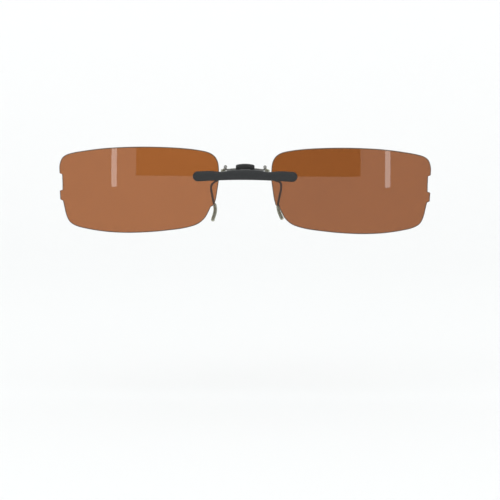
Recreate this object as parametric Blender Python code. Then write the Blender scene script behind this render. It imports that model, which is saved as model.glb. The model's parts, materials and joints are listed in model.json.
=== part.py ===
"""Flip-up clip-on sun lenses for spectacles, as an assembly of separate pieces.

Design frame, in millimetres: X to the right seen from the front, Y backwards
towards the wearer, Z up.  Y = 0 is the flat back of the bridge bar.  The three
empties move everything to the part's own frame, whose origin is the middle of
the seat pad's rear face, where the clip-on bears on the spectacle bridge.
"""

import math

import bmesh
import bpy
from mathutils import Matrix, Vector

MM = 0.001

# ---------------------------------------------------------------- dimensions
# Axes of the two pivots, (y, z)
FLIP_AXIS = (1.30, 1.25)
HOOK_AXIS = (5.50, 2.10)
# Seat on the spectacle bridge
SEAT_Y, SEAT_Z = 9.70, 1.55

# Bridge bar
BAR_HALF_LENGTH = 17.35
BAR_HALF_HEIGHT = 1.67
BAR_THICKNESS = 1.50
BAR_EDGE = 0.60
BAR_RISE_MIDDLE = 0.50
BAR_RISE_DROP = 0.56
BAR_WAIST_X = 8.0
BAR_WAIST_DEPTH = 0.50
BAR_WAIST_SPREAD = 2.6

# Lenses
LENS_THICKNESS = 1.20
LENS_CURVE_R = 175.0
LENS_WRAP = 0.07
LENS_CENTRE = (35.0, -4.7)
LENS_FRONT_Y = 0.40
LENS_EDGE_BEVEL = 0.15

# Flip hinge
KNUCKLE_R = 1.10
KNUCKLE_FLAT = 0.85
MIDDLE_KNUCKLE_HALF = 1.60
OUTER_KNUCKLE = (1.92, 3.10)
HINGE_PIN_R = 0.42
HINGE_HOLE_R = 0.50

# Screws that hold the lenses: distance from the middle
LENS_SCREW_X = (11.9, 15.1)
SCREW_SHAFT_R = 0.48
SCREW_HOLE_R = 0.60
SCREW_HEAD_R = 0.95
SCREW_HEAD_H = 0.55
WASHER_R, WASHER_HOLE_R, WASHER_T = 1.20, 0.62, 0.25

# Press lever
LEVER_HALF = 3.13
LEVER_FRONT_Y, LEVER_BACK_Y = 3.05, 4.20
LEVER_BOTTOM_Z, LEVER_TOP_Z = 1.85, 4.02
LUG_X = (2.25, LEVER_HALF)
LUG_R = 0.95

# Base frame
CHEEK_X = (1.25, 2.00)
CHEEK_R = 0.86
FLOOR_Z = (-0.55, 0.50)
FLOOR_HALF = 2.75
PLATE_HALF = 2.85
PLATE_Y = (8.30, 9.15)
PAD_Y = (9.20, SEAT_Y)
PAD_HALF_X, PAD_HALF_Z = 2.60, 1.05

# Wires and their sleeves
HOOK_WIRE_R = 0.35
PRONG_WIRE_R = 0.37
HOOK_SLEEVE_R, HOOK_SLEEVE_BORE = 0.56, 0.42
PRONG_SLEEVE_R, PRONG_SLEEVE_BORE = 0.64, 0.45
SHAFT_HOLE_R = 0.46
PRONG_X = 1.30
PRONG_Z = -0.20

# Torsion spring
SPRING_R, SPRING_WIRE_R, SPRING_TURNS = 0.70, 0.13, 4

ROUND = 16  # sides of a round piece
SCREW_SIDES = 12
WIRE_SIDES = 8


# ------------------------------------------------------------------ clearing
for old in list(bpy.data.objects):
    bpy.data.objects.remove(old, do_unlink=True)


# -------------------------------------------------------- bodies and their empties
PIVOTS = {
    "clip_base": Vector((0.0, SEAT_Y, SEAT_Z)),
    "lens_carrier": Vector((0.0, FLIP_AXIS[0], FLIP_AXIS[1])),
    "hook_lever": Vector((0.0, HOOK_AXIS[0], HOOK_AXIS[1])),
}
EMPTIES = {}
for body, pivot in PIVOTS.items():
    empty = bpy.data.objects.new(body + "_axis", None)
    empty.empty_display_size = 0.004
    bpy.context.scene.collection.objects.link(empty)
    if body != "clip_base":
        empty.parent = EMPTIES["clip_base"]
        empty.location = (pivot - PIVOTS["clip_base"]) * MM
    EMPTIES[body] = empty


# ------------------------------------------------------------------ materials
def material(name, colour, roughness, metallic=0.0, transmission=0.0, alpha=1.0, ior=1.5):
    made = bpy.data.materials.new(name)
    made.use_nodes = True
    shader = made.node_tree.nodes["Principled BSDF"]
    shader.inputs["Base Color"].default_value = (*colour, 1.0)
    shader.inputs["Roughness"].default_value = roughness
    shader.inputs["Metallic"].default_value = metallic
    shader.inputs["Transmission Weight"].default_value = transmission
    shader.inputs["Alpha"].default_value = alpha
    shader.inputs["IOR"].default_value = ior
    made.diffuse_color = (*colour, alpha)
    return made


BROWN = dict(colour=(0.52, 0.20, 0.075), roughness=0.04, transmission=1.0, ior=1.5)
BLACK = dict(colour=(0.030, 0.034, 0.036), roughness=0.42)
STEEL = dict(colour=(0.56, 0.56, 0.55), roughness=0.28, metallic=1.0)
NYLON = dict(colour=(0.70, 0.69, 0.65), roughness=0.50)
CLEAR = dict(colour=(0.80, 0.80, 0.76), roughness=0.18, transmission=0.6, ior=1.45)
SILICONE = dict(colour=(0.66, 0.67, 0.66), roughness=0.45, transmission=0.3)


# -------------------------------------------------------------- object helpers
def emit(name, bm, body, finish, helper=False):
    """Makes an object of a mesh built in the design frame, seated on its body's empty."""
    mesh = bpy.data.meshes.new(name)
    bmesh.ops.recalc_face_normals(bm, faces=bm.faces)
    bm.to_mesh(mesh)
    bm.free()
    mesh.transform(Matrix.Scale(MM, 4) @ Matrix.Translation(-PIVOTS[body]))
    obj = bpy.data.objects.new(name, mesh)
    bpy.context.scene.collection.objects.link(obj)
    obj.parent = EMPTIES[body]
    if helper:
        obj.hide_render = True
        obj.display_type = "WIRE"
        return obj
    mesh.materials.append(material(name, **finish))
    mesh.shade_smooth()
    mesh.set_sharp_from_angle(angle=math.radians(35))
    return obj


def combine(obj, other, operation):
    made = obj.modifiers.new(operation.title() + "_" + other.name, "BOOLEAN")
    made.operation = operation
    made.solver = "EXACT"
    made.object = other


def block(x0, x1, y0, y1, z0, z1, edge=0.0, segments=1):
    bm = bmesh.new()
    bmesh.ops.create_cube(bm, size=1.0)
    for v in bm.verts:
        v.co = Vector((
            x0 + (v.co.x + 0.5) * (x1 - x0),
            y0 + (v.co.y + 0.5) * (y1 - y0),
            z0 + (v.co.z + 0.5) * (z1 - z0),
        ))
    if edge:
        bmesh.ops.bevel(bm, geom=list(bm.edges), offset=edge, segments=segments, affect="EDGES", profile=0.5)
    return bm


def cylinder_x(x0, x1, y, z, radius, sides=ROUND):
    """A cylinder along X."""
    bm = bmesh.new()
    bmesh.ops.create_cone(bm, cap_ends=True, segments=sides, radius1=radius, radius2=radius, depth=x1 - x0)
    turn = Matrix.Rotation(math.radians(90), 4, "Y")
    bmesh.ops.transform(bm, matrix=Matrix.Translation(((x0 + x1) / 2, y, z)) @ turn, verts=bm.verts)
    return bm


def cylinder_y(x, y0, y1, z, radius, sides=ROUND):
    """A cylinder along Y."""
    bm = bmesh.new()
    bmesh.ops.create_cone(bm, cap_ends=True, segments=sides, radius1=radius, radius2=radius, depth=y1 - y0)
    turn = Matrix.Rotation(math.radians(90), 4, "X")
    bmesh.ops.transform(bm, matrix=Matrix.Translation((x, (y0 + y1) / 2, z)) @ turn, verts=bm.verts)
    return bm


def cylinder_z(x, y, z0, z1, radius, sides=ROUND):
    """A cylinder along Z."""
    bm = bmesh.new()
    bmesh.ops.create_cone(bm, cap_ends=True, segments=sides, radius1=radius, radius2=radius, depth=z1 - z0)
    bmesh.ops.transform(bm, matrix=Matrix.Translation((x, y, (z0 + z1) / 2)), verts=bm.verts)
    return bm


def prism_x(points, x0, x1, edge=0.0):
    """A closed (y, z) outline extruded along X."""
    bm = bmesh.new()
    face = bm.faces.new([bm.verts.new((x0, y, z)) for y, z in points])
    out = bmesh.ops.extrude_face_region(bm, geom=[face])
    for item in out["geom"]:
        if isinstance(item, bmesh.types.BMVert):
            item.co.x = x1
    bmesh.ops.recalc_face_normals(bm, faces=bm.faces)
    if edge:
        rim = [e for e in bm.edges if abs(e.verts[0].co.x - e.verts[1].co.x) < 1e-6]
        bmesh.ops.bevel(bm, geom=rim, offset=edge, segments=1, affect="EDGES", profile=0.5)
    return bm


def turned(profile, origin, axis, sides=ROUND):
    """A solid of revolution: profile is (distance along the axis, radius), both ends at radius 0."""
    bm = bmesh.new()
    axis = Vector(axis).normalized()
    across = axis.orthogonal().normalized()
    third = axis.cross(across)
    origin = Vector(origin)
    rings = []
    for along, radius in profile:
        centre = origin + axis * along
        if radius == 0:
            rings.append([bm.verts.new(centre)])
            continue
        rings.append([
            bm.verts.new(centre + (across * math.cos(a) + third * math.sin(a)) * radius)
            for a in (2 * math.pi * (k + 0.5) / sides for k in range(sides))
        ])
    skin(bm, rings)
    return bm


def ring_washer(origin, axis, inner, outer, thickness, sides=ROUND):
    """A flat washer; origin is the middle of its first face."""
    bm = bmesh.new()
    axis = Vector(axis).normalized()
    across = axis.orthogonal().normalized()
    third = axis.cross(across)
    origin = Vector(origin)
    loop = [(0.0, inner), (0.0, outer), (thickness, outer), (thickness, inner)]
    rings = []
    for along, radius in loop + loop[:1]:
        if len(rings) == len(loop):
            rings.append(rings[0])
            break
        rings.append([
            bm.verts.new(origin + axis * along + (across * math.cos(a) + third * math.sin(a)) * radius)
            for a in (2 * math.pi * (k + 0.5) / sides for k in range(sides))
        ])
    skin(bm, rings)
    return bm


def skin(bm, rings):
    """Faces between each ring of points and the next; a ring of one point is a tip."""
    for a, b in zip(rings, rings[1:]):
        n = max(len(a), len(b))
        for k in range(n):
            m = (k + 1) % n
            if len(a) == 1:
                bm.faces.new((a[0], b[m], b[k]))
            elif len(b) == 1:
                bm.faces.new((a[k], a[m], b[0]))
            else:
                bm.faces.new((a[k], a[m], b[m], b[k]))


# -------------------------------------------------------------- smooth routes
def smooth(points, per_span=8):
    """A centripetal Catmull-Rom curve through the points."""
    pts = [Vector(p) for p in points]
    pts = [pts[0] * 2 - pts[1]] + pts + [pts[-1] * 2 - pts[-2]]
    out = []
    for p0, p1, p2, p3 in zip(pts, pts[1:], pts[2:], pts[3:]):
        t0 = 0.0
        t1 = t0 + max((p1 - p0).length, 1e-6) ** 0.5
        t2 = t1 + max((p2 - p1).length, 1e-6) ** 0.5
        t3 = t2 + max((p3 - p2).length, 1e-6) ** 0.5
        for k in range(per_span):
            t = t1 + (t2 - t1) * k / per_span
            a1 = p0 * ((t1 - t) / (t1 - t0)) + p1 * ((t - t0) / (t1 - t0))
            a2 = p1 * ((t2 - t) / (t2 - t1)) + p2 * ((t - t1) / (t2 - t1))
            a3 = p2 * ((t3 - t) / (t3 - t2)) + p3 * ((t - t2) / (t3 - t2))
            b1 = a1 * ((t2 - t) / (t2 - t0)) + a2 * ((t - t0) / (t2 - t0))
            b2 = a2 * ((t3 - t) / (t3 - t1)) + a3 * ((t - t1) / (t3 - t1))
            out.append(b1 * ((t2 - t) / (t2 - t1)) + b2 * ((t - t1) / (t2 - t1)))
    out.append(pts[-2])
    return out


class Route:
    """A smooth path, with a frame that doesn't twist, read by the distance along it."""

    def __init__(self, points, per_span=16):
        self.points = smooth(points, per_span)
        self.at = [0.0]
        for a, b in zip(self.points, self.points[1:]):
            self.at.append(self.at[-1] + (b - a).length)
        self.length = self.at[-1]
        n = len(self.points)
        self.ahead = [
            (self.points[min(i + 1, n - 1)] - self.points[max(i - 1, 0)]).normalized() for i in range(n)
        ]
        side = self.ahead[0].orthogonal().normalized()
        self.side = []
        for direction in self.ahead:
            side = (side - direction * side.dot(direction)).normalized()
            self.side.append(side)

    def frame(self, s):
        s = min(max(s, 0.0), self.length)
        i = 0
        while i < len(self.at) - 2 and self.at[i + 1] < s:
            i += 1
        f = (s - self.at[i]) / max(self.at[i + 1] - self.at[i], 1e-9)
        point = self.points[i].lerp(self.points[i + 1], f)
        ahead = self.ahead[i].lerp(self.ahead[i + 1], f).normalized()
        side = self.side[i].lerp(self.side[i + 1], f)
        side = (side - ahead * side.dot(ahead)).normalized()
        return point, side, ahead.cross(side)

    def find(self, test):
        """The distance along at which the test first holds."""
        for s, p in zip(self.at, self.points):
            if test(p):
                return s
        return self.length

    def stations(self, s0, s1, step, turn=math.radians(11)):
        """Distances from s0 to s1, closer where the route bends."""
        out, last_dir, last = [s0], None, s0
        for s, d in zip(self.at, self.ahead):
            if s <= s0 or s >= s1:
                continue
            if last_dir is None:
                last_dir = d
            if s - last >= step or (d.angle(last_dir) >= turn and s - last > step * 0.1):
                out.append(s)
                last, last_dir = s, d
        if s1 - out[-1] < step * 0.12 and len(out) > 1:
            out.pop()
        out.append(s1)
        return out


def swept(route, rings, sides=WIRE_SIDES):
    """A skin over rings (distance along, radius) in order; radius 0 is a tip."""
    bm = bmesh.new()
    loops = []
    for s, radius in rings:
        point, u, v = route.frame(s)
        if radius == 0:
            loops.append([bm.verts.new(point)])
            continue
        loops.append([
            bm.verts.new(point + (u * math.cos(a) + v * math.sin(a)) * radius)
            for a in (2 * math.pi * k / sides for k in range(sides))
        ])
    skin(bm, loops)
    return bm


def wire(route, radius, step=1.6, round_end=0.55):
    """A solid wire with eased ends."""
    e = radius * round_end
    first, last = e, route.length - e
    rings = [(0.0, 0), (0.0, radius * 0.62), (e * 0.45, radius * 0.90)]
    rings += [(s, radius) for s in route.stations(first, last, step)]
    rings += [(route.length - e * 0.45, radius * 0.90), (route.length, radius * 0.62), (route.length, 0)]
    return swept(route, rings)


def sleeve(route, start, wire_end, bore, radius, tip=0.55, step=1.3):
    """A soft cap pushed over a wire's end: open at start, closed past wire_end."""
    inner = route.stations(start, wire_end, step)
    end = route.length
    outer = route.stations(start, end - tip, step)
    rings = [(wire_end, 0)] + [(s, bore) for s in reversed(inner)]
    rings += [(start, radius * 0.94)] + [(s, radius) for s in [start + 0.08] + outer[1:]]
    rings += [(end - tip * 0.45, radius * 0.88), (end - tip * 0.10, radius * 0.55), (end, 0)]
    return swept(route, rings)


# ------------------------------------------------------------- the lens outline
# Distance from the middle and height.  Each run is a smooth line; a new run
# starts at a corner: the two temporal steps that clear the spectacle's end
# piece, and the corner where the nasal side turns to the cut beside the nose.
OUTLINE_RUNS = (
    ((8.70, 2.2), (8.85, 3.8), (9.25, 5.2), (10.15, 6.6), (11.9, 7.75), (15.5, 8.6), (21.5, 9.25),
     (31.5, 9.60), (40.0, 9.43), (47.0, 8.95), (53.0, 8.15), (57.4, 7.35), (59.6, 6.65), (60.9, 5.7),
     (61.6, 4.3), (61.92, 2.6), (61.82, 0.45)),
    ((60.98, 0.15), (60.86, -2.5), (60.84, -5.05)),
    ((61.74, -5.35), (61.58, -8.25)),
    ((60.68, -8.70), (60.25, -10.6), (59.80, -12.6), (59.15, -14.5), (58.2, -15.9), (56.2, -17.05),
     (52.0, -18.05), (46.0, -18.85), (39.5, -19.10), (33.0, -18.87), (26.0, -18.22), (19.5, -17.25),
     (15.6, -15.95), (13.3, -14.0), (12.15, -12.0), (11.35, -10.25)),
    ((10.15, -9.55), (9.55, -7.2), (9.15, -4.6), (8.75, -1.6), (8.66, 0.4)),
)


def lens_outline(spacing):
    """The outline's points, anticlockwise for the right-hand lens seen from behind."""
    out = []
    for run in OUTLINE_RUNS:
        if len(run) == 2:
            fine = [Vector((*p, 0)) for p in run]
        else:
            fine = smooth([(*p, 0) for p in run], 10)
        kept = [fine[0]]
        last_dir = (fine[1] - fine[0]).normalized()
        for a, b in zip(fine[1:-1], fine[2:]):
            d = (b - a).normalized()
            gap = (a - kept[-1]).length
            if gap >= spacing or (d.angle(last_dir) > math.radians(13) and gap > 0.25):
                kept.append(a)
                last_dir = d
        if len(kept) > 1 and (fine[-1] - kept[-1]).length < 0.25 * spacing:
            kept.pop()
        kept.append(fine[-1])
        out += [(p.x, p.y) for p in kept]
    return out


def lens_front(d, z):
    """Depth of the lens's front surface: a sphere's bow, and the wrap round the face."""
    across, up = d - LENS_CENTRE[0], z - LENS_CENTRE[1]
    return LENS_FRONT_Y + (across * across + up * up) / (2 * LENS_CURVE_R) + LENS_WRAP * across


def lens(side):
    """A thin curved lens: scaled copies of the outline on both surfaces, with an eased edge."""
    bm = bmesh.new()
    outline = lens_outline(3.6)
    cx, cz = LENS_CENTRE

    def ring(scale, depth):
        loop = []
        for d, z in outline:
            x, h = cx + (d - cx) * scale, cz + (z - cz) * scale
            loop.append(bm.verts.new((side * x, lens_front(x, h) + depth, h)))
        return loop

    rim = 1 - LENS_EDGE_BEVEL / 24
    rings = [[bm.verts.new((side * cx, lens_front(cx, cz), cz))]]
    rings += [ring(f, 0.0) for f in (0.40, 0.72, 0.91, rim)]
    rings += [ring(1.0, LENS_EDGE_BEVEL), ring(1.0, LENS_THICKNESS - LENS_EDGE_BEVEL)]
    rings += [ring(f, LENS_THICKNESS) for f in (rim, 0.91, 0.72, 0.40)]
    rings.append([bm.verts.new((side * cx, lens_front(cx, cz) + LENS_THICKNESS, cz))])
    skin(bm, rings)
    return bm


# ----------------------------------------------------------------- bridge bar
def bar_centre(x):
    """The bar arches up a little over the nose."""
    return BAR_RISE_MIDDLE - BAR_RISE_DROP * min(1.0, abs(x) / 15.0) ** 2


def bar_waist(x):
    """How far the top edge dips beside the hinge, so that the hooks' wires clear it."""
    return BAR_WAIST_DEPTH * math.exp(-(((abs(x) - BAR_WAIST_X) / BAR_WAIST_SPREAD) ** 2))


def bar_section(x):
    """(half height, depth share) of the bar at x: full in its length, round at its ends."""
    start = BAR_HALF_LENGTH - BAR_HALF_HEIGHT
    if abs(x) <= start:
        return BAR_HALF_HEIGHT, 1.0
    part = min(1.0, (abs(x) - start) / BAR_HALF_HEIGHT)
    share = math.sqrt(max(0.0, 1 - part * part))
    return BAR_HALF_HEIGHT * max(share, 0.10), 0.62 + 0.38 * share


def bar_solid():
    bm = bmesh.new()
    start = BAR_HALF_LENGTH - BAR_HALF_HEIGHT
    half = [start * k / 12 for k in range(13)]
    half += [start + BAR_HALF_HEIGHT * math.sin(math.radians(a)) for a in (18, 36, 54, 70, 82, 90)]
    stations = [-x for x in reversed(half[1:])] + half
    loops = []
    for x in stations:
        h, deep = bar_section(x)
        zc = bar_centre(x)
        top = h - bar_waist(x) if abs(x) < start else h
        loop = []
        for k in range(11):
            a = math.radians(-90 + 18 * k)
            bow = max(0.0, math.cos(a)) ** 0.85
            loop.append((-deep * (BAR_EDGE + (BAR_THICKNESS - BAR_EDGE) * bow), zc + (top if a > 0 else h) * math.sin(a)))
        ease = min(0.14, h * 0.4)
        loop += [(-ease, zc + top), (0.0, zc + top - ease), (0.0, zc - h + ease), (-ease, zc - h)]
        loops.append([bm.verts.new((x, y, z)) for y, z in loop])
    skin(bm, loops)
    bm.faces.new(loops[0])
    bm.faces.new(loops[-1])
    return bm


def knuckle(x0, x1):
    """A hinge knuckle on the bar's back, with a flat to the rear and one on top that hold it at 0 and 90 degrees."""
    y, z = FLIP_AXIS
    points = []
    for k in range(24):
        a = 2 * math.pi * (k + 0.5) / 24
        points.append((
            y + min(KNUCKLE_R * math.cos(a), KNUCKLE_FLAT),
            z + min(KNUCKLE_R * math.sin(a), KNUCKLE_FLAT),
        ))
    # the front half runs square into the bar
    body = [p for p in points if p[0] >= y]
    low = min(p[1] for p in body)
    high = max(p[1] for p in body)
    body.sort(key=lambda p: math.atan2(p[1] - z, p[0] - y))
    outline = [(-0.45, low)] + body + [(-0.45, high)]
    kept = [outline[0]]
    for p in outline[1:]:
        if math.hypot(p[0] - kept[-1][0], p[1] - kept[-1][1]) > 0.02:
            kept.append(p)
    return prism_x(kept, x0, x1)


BODY = "lens_carrier"
bar = emit("bridge_bar", bar_solid(), BODY, BLACK)
for side, label in ((-1, "left"), (1, "right")):
    a, b = sorted((side * OUTER_KNUCKLE[0], side * OUTER_KNUCKLE[1]))
    combine(bar, emit("form_knuckle_" + label, knuckle(a, b), BODY, None, helper=True), "UNION")
combine(bar, emit("cut_hinge_hole", cylinder_x(-4, 4, *FLIP_AXIS, HINGE_HOLE_R), BODY, None, helper=True), "DIFFERENCE")

for side, label in ((-1, "left"), (1, "right")):
    piece = emit("lens_" + label, lens(side), BODY, BROWN)
    for where, x in zip(("inner", "outer"), LENS_SCREW_X):
        z = bar_centre(x)
        hole = emit("cut_lens_%s_%s" % (label, where), cylinder_y(side * x, -0.6, 3.0, z, SCREW_HOLE_R + 0.05, 12), BODY, None, helper=True)
        combine(piece, hole, "DIFFERENCE")
        socket = emit("cut_bar_%s_%s" % (label, where), cylinder_y(side * x, -1.02, 0.6, z, SCREW_HOLE_R, 12), BODY, None, helper=True)
        combine(bar, socket, "DIFFERENCE")
        back = max(lens_front(x + u * WASHER_R, z + v * WASHER_R) for u in (-1, 0, 1) for v in (-1, 0, 1)) + LENS_THICKNESS + 0.05
        emit("lens_washer_%s_%s" % (label, where), ring_washer((side * x, back, z), (0, 1, 0), WASHER_HOLE_R, WASHER_R, WASHER_T), BODY, NYLON)
        seat = back + WASHER_T + 0.04
        head = [
            (-0.92, 0), (-0.92, 0.36), (-0.80, SCREW_SHAFT_R), (seat, SCREW_SHAFT_R), (seat, SCREW_HEAD_R - 0.05),
            (seat + 0.08, SCREW_HEAD_R), (seat + SCREW_HEAD_H * 0.55, SCREW_HEAD_R * 0.93),
            (seat + SCREW_HEAD_H, SCREW_HEAD_R * 0.60), (seat + SCREW_HEAD_H, 0.34), (seat + 0.25, 0.28), (seat + 0.25, 0),
        ]
        emit("lens_screw_%s_%s" % (label, where), turned(head, (side * x, 0, z), (0, 1, 0), SCREW_SIDES), BODY, STEEL)

# Hinge pin: a headed rivet through the three knuckles, and a washer each side of the middle one
pin_end, head_t, head_r = OUTER_KNUCKLE[1] + 0.05, 0.42, 0.82
pin = [
    (-pin_end - head_t, 0), (-pin_end - head_t, 0.50), (-pin_end - head_t * 0.6, head_r * 0.90), (-pin_end - 0.10, head_r),
    (-pin_end, head_r - 0.04), (-pin_end, HINGE_PIN_R), (pin_end, HINGE_PIN_R), (pin_end, head_r - 0.04),
    (pin_end + 0.10, head_r), (pin_end + head_t * 0.6, head_r * 0.90), (pin_end + head_t, 0.50), (pin_end + head_t, 0),
]
emit("hinge_pin", turned(pin, (0, *FLIP_AXIS), (1, 0, 0)), BODY, STEEL)
for side, label in ((-1, "left"), (1, "right")):
    emit("hinge_washer_" + label, ring_washer((side * (MIDDLE_KNUCKLE_HALF + 0.05), *FLIP_AXIS), (side, 0, 0), HINGE_HOLE_R, 0.98, 0.22), BODY, NYLON)


# ----------------------------------------------------------------- base frame
BODY = "clip_base"
FLIP_Y, FLIP_Z = FLIP_AXIS
HOOK_Y, HOOK_Z = HOOK_AXIS

base = emit("base_frame", block(-FLOOR_HALF, FLOOR_HALF, 4.55, PLATE_Y[1] - 0.2, *FLOOR_Z, edge=0.14), BODY, BLACK)
neck = [(FLIP_Y - 0.35, FLIP_Z - 0.95), (1.55, FLOOR_Z[0]), (5.2, FLOOR_Z[0] + 0.02), (5.2, 0.48), (2.75, 0.48), (2.20, 0.80), (1.90, FLIP_Z)]
combine(base, emit("form_neck", prism_x(neck, -MIDDLE_KNUCKLE_HALF + 0.03, MIDDLE_KNUCKLE_HALF - 0.03), BODY, None, helper=True), "UNION")
combine(base, emit("form_middle_knuckle", cylinder_x(-MIDDLE_KNUCKLE_HALF, MIDDLE_KNUCKLE_HALF, FLIP_Y, FLIP_Z, KNUCKLE_R, 24), BODY, None, helper=True), "UNION")
for side, label in ((-1, "left"), (1, "right")):
    cheek = [(HOOK_Y + CHEEK_R * math.cos(a), HOOK_Z + CHEEK_R * math.sin(a)) for a in (math.radians(15 * k) for k in range(0, 13))]
    cheek = cheek + [(HOOK_Y - 0.72, FLOOR_Z[1] - 0.3), (HOOK_Y + 1.35, FLOOR_Z[1] - 0.3)]
    a, b = sorted((side * CHEEK_X[0], side * CHEEK_X[1]))
    combine(base, emit("form_cheek_" + label, prism_x(cheek, a, b), BODY, None, helper=True), "UNION")
combine(base, emit("form_seat_plate", block(-PLATE_HALF, PLATE_HALF, *PLATE_Y, FLOOR_Z[0] + 0.06, SEAT_Z + 1.25, edge=0.22, segments=2), BODY, None, helper=True), "UNION")
for side, label in ((-1, "left"), (1, "right")):
    rib = [(7.35, FLOOR_Z[1] - 0.25), (PLATE_Y[0] + 0.25, FLOOR_Z[1] - 0.25), (PLATE_Y[0] + 0.25, 1.95), (PLATE_Y[0] - 0.1, 1.75)]
    a, b = sorted((side * 1.70, side * 2.30))
    combine(base, emit("form_rib_" + label, prism_x(rib, a, b), BODY, None, helper=True), "UNION")
combine(base, emit("cut_base_hinge_hole", cylinder_x(-4, 4, FLIP_Y, FLIP_Z, HINGE_HOLE_R), BODY, None, helper=True), "DIFFERENCE")
combine(base, emit("cut_shaft_hole", cylinder_x(-4, 4, HOOK_Y, HOOK_Z, SHAFT_HOLE_R), BODY, None, helper=True), "DIFFERENCE")

CLAMP_SCREW_Y = (5.45, 7.35)
DETENT_SCREW_Y = 3.75
for k, y in enumerate((DETENT_SCREW_Y,) + CLAMP_SCREW_Y):
    combine(base, emit("cut_screw_hole_%d" % k, cylinder_z(0, y, -1.2, 1.2, 0.50, 12), BODY, None, helper=True), "DIFFERENCE")

# Two channels under the floor, which run out under the seat plate, hold the prongs' roots
for side, label in ((-1, "left"), (1, "right")):
    a, b = sorted((side * (PRONG_X - 0.43), side * (PRONG_X + 0.43)))
    combine(base, emit("cut_channel_" + label, block(a, b, 4.92, 10.0, FLOOR_Z[0] - 0.5, PRONG_Z + 0.43), BODY, None, helper=True), "DIFFERENCE")

# Silicone pad that bears on the spectacle bridge
pad = block(-PAD_HALF_X, PAD_HALF_X, PAD_Y[0], PAD_Y[1], SEAT_Z - PAD_HALF_Z, SEAT_Z + PAD_HALF_Z, edge=0.16, segments=2)
emit("seat_pad", pad, BODY, SILICONE)

# Clamp plate under the floor, over the roots of both prongs, and its two screws
clamp_top = FLOOR_Z[0] - 0.05
CLAMP_T = 0.40
clamp = emit("prong_clamp", block(-2.30, 2.30, 4.85, 8.05, clamp_top - CLAMP_T, clamp_top, edge=0.10), BODY, STEEL)
for k, y in enumerate(CLAMP_SCREW_Y):
    combine(clamp, emit("cut_clamp_hole_%d" % k, cylinder_z(0, y, -3.5, 0, 0.50, 12), BODY, None, helper=True), "DIFFERENCE")
    seat = -(clamp_top - CLAMP_T) + 0.03
    screw = [
        (-0.40, 0), (-0.40, 0.30), (-0.30, 0.40), (seat, 0.40), (seat, 0.74), (seat + 0.06, 0.78),
        (seat + 0.20, 0.72), (seat + 0.32, 0.50), (seat + 0.32, 0.28), (seat + 0.14, 0.22), (seat + 0.14, 0),
    ]
    emit("clamp_screw_" + ("front", "rear")[k], turned(screw, (0, y, 0), (0, 0, -1), SCREW_SIDES), BODY, STEEL)

# Detent leaf: a U of thin strip under the neck, whose two arms press on the bar's knuckle flats
leaf_y = FLIP_Y + KNUCKLE_FLAT + 0.05
LEAF_T = 0.17
leaf = emit("detent_leaf", block(-3.02, 3.02, leaf_y + 0.02, 4.45, FLOOR_Z[0] - 0.04 - LEAF_T, FLOOR_Z[0] - 0.04), BODY, STEEL)
for side, label in ((-1, "left"), (1, "right")):
    a, b = sorted((side * 1.98, side * 3.02))
    arm = [
        (leaf_y, FLOOR_Z[0] - 0.04 - LEAF_T), (leaf_y + 0.60, FLOOR_Z[0] - 0.04 - LEAF_T * 0.98), (leaf_y + 0.36, FLOOR_Z[0] + 0.02),
        (leaf_y + LEAF_T, FLOOR_Z[0] + 0.40), (leaf_y + LEAF_T, FLIP_Z + 0.55), (leaf_y + LEAF_T + 0.16, FLIP_Z + 0.80),
        (leaf_y + 0.18, FLIP_Z + 0.86), (leaf_y, FLIP_Z + 0.58),
    ]
    combine(leaf, emit("form_leaf_arm_" + label, prism_x(arm, a, b), BODY, None, helper=True), "UNION")
combine(leaf, emit("cut_leaf_hole", cylinder_z(0, DETENT_SCREW_Y, -2, 0.2, 0.50, 12), BODY, None, helper=True), "DIFFERENCE")
seat = -(FLOOR_Z[0] - 0.04 - LEAF_T) + 0.03
screw = [
    (-0.30, 0), (-0.30, 0.30), (-0.20, 0.40), (seat, 0.40), (seat, 0.70), (seat + 0.06, 0.74),
    (seat + 0.22, 0.68), (seat + 0.36, 0.44), (seat + 0.36, 0.28), (seat + 0.16, 0.22), (seat + 0.16, 0),
]
emit("detent_screw", turned(screw, (0, DETENT_SCREW_Y, 0), (0, 0, -1), SCREW_SIDES), BODY, STEEL)

# Lower prongs: from the clamp back under the spectacle bridge, out behind the lenses and down.
# Each is bent by hand, so the two differ a little.
PRONG_ROUTES = {
    "right": ((PRONG_X, 5.05, PRONG_Z), (PRONG_X, 6.6, PRONG_Z), (PRONG_X, 8.3, PRONG_Z), (1.60, 9.7, -0.22), (3.0, 11.0, -0.40),
              (5.4, 11.85, -0.72), (8.0, 12.1, -1.20), (10.2, 12.1, -1.95), (11.5, 12.1, -2.40), (12.05, 12.1, -3.10), (12.1, 12.05, -4.6),
              (11.8, 11.95, -6.3), (11.45, 11.9, -8.0), (11.15, 11.8, -9.8), (11.15, 11.65, -10.9), (11.45, 11.4, -12.4),
              (12.05, 11.1, -13.9), (12.6, 10.8, -15.1)),
    "left": ((-PRONG_X, 5.05, PRONG_Z), (-PRONG_X, 6.6, PRONG_Z), (-PRONG_X, 8.3, PRONG_Z), (-1.60, 9.7, -0.22), (-3.0, 11.0, -0.42),
             (-5.4, 11.85, -0.78), (-8.0, 12.1, -1.38), (-9.7, 12.1, -2.20), (-10.65, 12.1, -2.85), (-11.3, 12.1, -3.60), (-11.45, 12.05, -4.7),
             (-11.1, 11.95, -6.9), (-10.6, 11.85, -9.3), (-10.15, 11.7, -10.6), (-10.0, 11.5, -11.8), (-10.15, 11.35, -13.0),
             (-10.6, 11.1, -14.6), (-11.0, 10.85, -15.8)),
}
SLEEVE_START = {"right": -10.3, "left": -9.9}
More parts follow.
